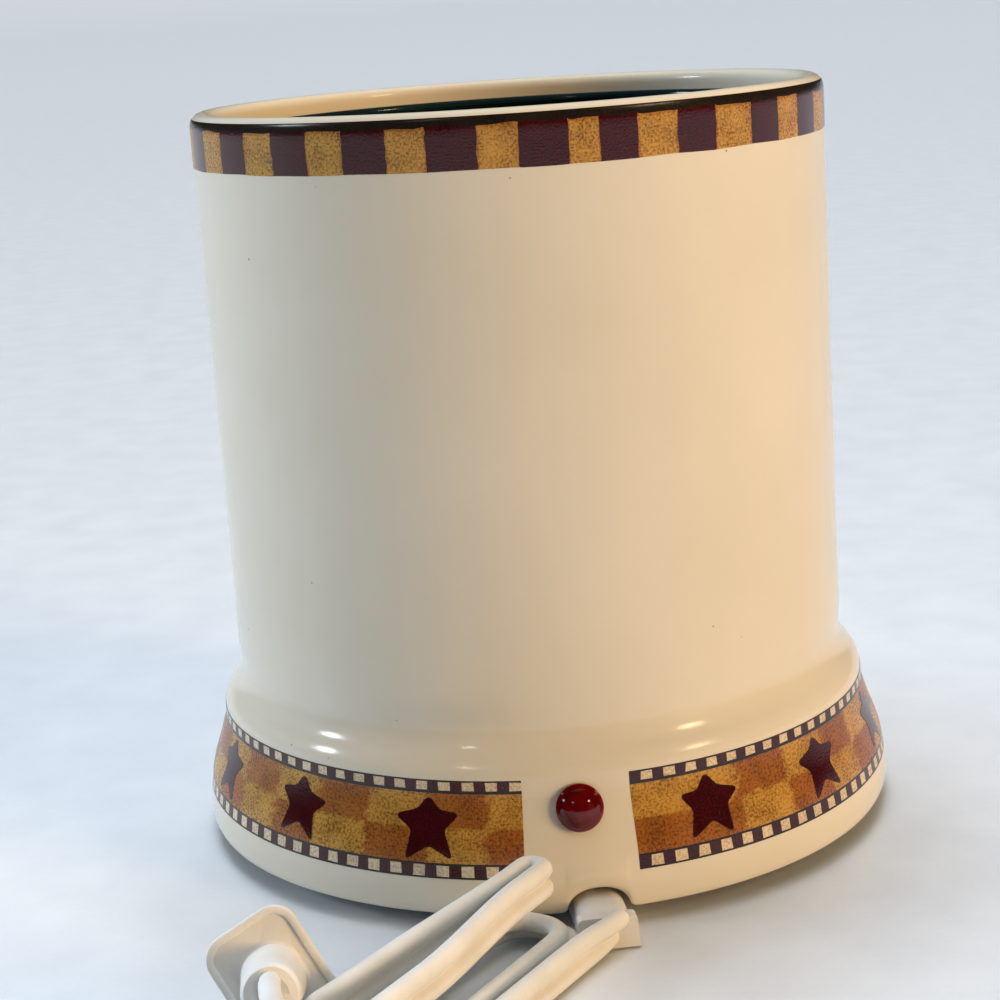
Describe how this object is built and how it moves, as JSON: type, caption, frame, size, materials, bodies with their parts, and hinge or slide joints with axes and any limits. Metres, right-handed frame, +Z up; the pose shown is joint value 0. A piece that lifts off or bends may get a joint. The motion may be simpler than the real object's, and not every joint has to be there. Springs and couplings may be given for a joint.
{
  "type": "candle warmer plate",
  "caption": "Tall cream ceramic crock that warms a jar candle from below, with a patchwork rim, star border, pilot lamp and flat cord.",
  "frame": {"origin": "on the table, under the centre of the crock", "axes": "+Z up along the crock's axis; -Y towards the side with the pilot lamp and the cord notch; +X to the right, seen from that side"},
  "size_m": [0.182, 0.288, 0.1598],
  "materials": {
    "cream_glaze": "gloss",
    "black_coated_cup": "gloss",
    "black_moulding": "matte",
    "dark_rubber": "matte",
    "grey_fibre": "matte",
    "plate_aluminium": "satin",
    "mica_sheet": "satin",
    "ribbon_alloy": "satin",
    "white_fibre_pad": "matte",
    "pan_steel": "satin",
    "white_bead": "satin",
    "pin_brass": "satin",
    "plated_steel": "satin",
    "red_jewel": "gloss",
    "bulb_glass": "gloss",
    "resistor_body": "satin",
    "fuse_can": "satin",
    "splice_sleeve": "satin",
    "white_wire": "satin",
    "white_moulding": "satin",
    "white_cord": "satin",
    "tie_paper": "matte",
    "blade_brass": "satin"
  },
  "bodies": {
    "crock": {"ceramic_shell": "cream_glaze", "base_cover": "black_moulding", "rubber_foot_1": "dark_rubber", "rubber_foot_2": "dark_rubber", "rubber_foot_3": "dark_rubber", "rubber_foot_4": "dark_rubber", "plate_gasket": "grey_fibre", "heater_plate": "plate_aluminium", "upper_mica": "mica_sheet", "heating_ribbon": "ribbon_alloy", "lower_mica": "mica_sheet", "insulation_pad": "white_fibre_pad", "clamp_pan": "pan_steel", "terminal_beads": "white_bead", "terminal_pins": "pin_brass", "centre_stud": "plated_steel", "stud_washers": "plated_steel", "stud_nuts": "plated_steel", "pilot_lens": "red_jewel", "lens_ring": "plated_steel", "pilot_bulb": "bulb_glass", "lamp_resistor": "resistor_body", "thermal_fuse": "fuse_can", "fuse_clip": "pan_steel", "wire_splices": "splice_sleeve", "supply_wire_1": "white_wire", "supply_wire_2": "white_wire", "fuse_lead_1": "white_wire", "fuse_lead_2": "white_wire", "element_lead": "white_wire", "lamp_lead_1": "white_wire", "lamp_lead_2": "white_wire", "strain_relief": "white_moulding", "cord_lead": "white_cord", "cord_hank": "white_cord", "cord_tail": "white_cord", "cord_tie": "tie_paper", "plug_body": "white_moulding", "plug_blade_narrow": "blade_brass", "plug_blade_wide": "blade_brass"},
    "cup": {"inner_cup": "black_coated_cup"}
  },
  "joints": [
    {"name": "cup_lift", "type": "slide", "parent": "crock", "child": "cup", "axis": [0, 0, 1], "range_m": [0, 0.13]}
  ]
}
